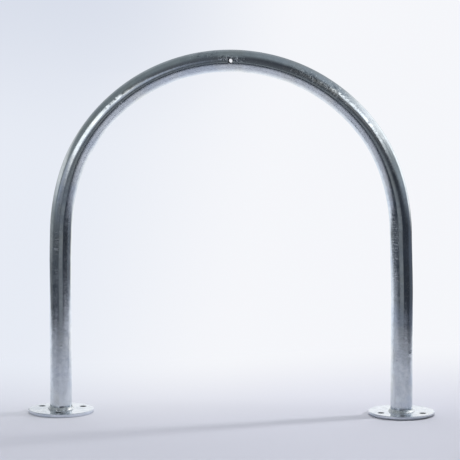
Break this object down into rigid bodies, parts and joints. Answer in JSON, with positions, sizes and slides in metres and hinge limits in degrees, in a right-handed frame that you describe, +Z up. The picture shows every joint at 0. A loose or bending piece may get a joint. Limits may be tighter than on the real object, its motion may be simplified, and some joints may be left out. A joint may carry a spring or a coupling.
{
  "type": "bicycle parking hoop",
  "caption": "Hoop of bent galvanised steel tube on round bolt-down base flanges, to lean and lock a bicycle against.",
  "frame": {"origin": "on the ground, midway between the two legs", "axes": "+X runs from the left leg to the right leg, +Z is up, -Y is the front"},
  "size_m": [0.895, 0.145, 0.7991],
  "materials": {
    "tube_zinc": "hot-dip galvanised tube, dull silver with runs and cloudy streaks",
    "flange_zinc": "hot-dip galvanised plate, smooth and fairly glossy",
    "weld_zinc": "lumpy weld bead under hot-dip zinc"
  },
  "bodies": {
    "root": {"hoop_tube": "tube_zinc", "left_base_flange": "flange_zinc", "right_base_flange": "flange_zinc", "left_weld_bead": "weld_zinc", "right_weld_bead": "weld_zinc"}
  },
  "joints": []
}
